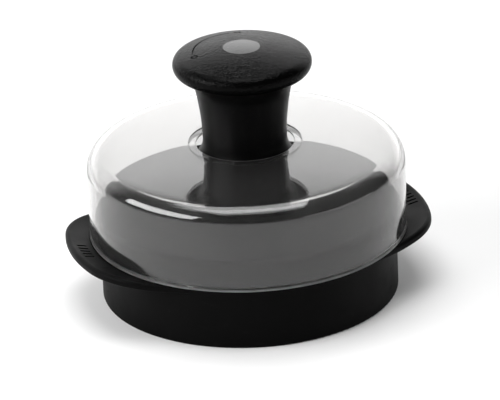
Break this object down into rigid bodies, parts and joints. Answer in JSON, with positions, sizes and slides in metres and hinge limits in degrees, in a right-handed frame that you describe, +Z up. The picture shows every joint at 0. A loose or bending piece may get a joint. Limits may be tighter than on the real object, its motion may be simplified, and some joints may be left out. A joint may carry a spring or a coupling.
{
  "type": "patty press",
  "caption": "Round patty press: black mould with two ears, clear domed cover, and a flanged plunger pushed down by a mushroom knob on a waisted handle.",
  "frame": {"origin": "on the table, under the middle of the mould", "axes": "+Z up along the mould's and handle's axis, X through the two ears"},
  "size_m": [0.1484, 0.1286, 0.1052],
  "materials": {
    "black_plastic": "satin black moulded plastic",
    "grained_plastic": "fine-grained matt black moulded plastic",
    "smooth_inlay": "smooth dark grey plastic",
    "press_plastic": "satin black moulded plastic",
    "clear_plastic": "clear polished plastic",
    "screw_steel": "zinc-plated steel"
  },
  "bodies": {
    "base": {"base_mould": "black_plastic"},
    "cover": {"clear_cover": "clear_plastic"},
    "plunger": {"press_cup": "press_plastic", "flange_plate": "press_plastic"},
    "handle": {"handle_stem": "black_plastic", "lock_sleeve": "black_plastic", "sleeve_screws": "screw_steel", "knob_cap": "grained_plastic", "knob_inlay": "smooth_inlay"}
  },
  "joints": [
    {"name": "cover_lift", "type": "slide", "parent": "base", "child": "cover", "axis": [0, 0, 1], "range_m": [0, 0.07]},
    {"name": "plunger_slide", "type": "slide", "parent": "cover", "child": "plunger", "axis": [0, 0, 1], "range_m": [0, 0.019]},
    {"name": "handle_twist", "type": "hinge", "parent": "plunger", "child": "handle", "pos_m": [0, 0, 0.0662], "axis": [0, 0, 1], "range_deg": [0, 75]}
  ]
}
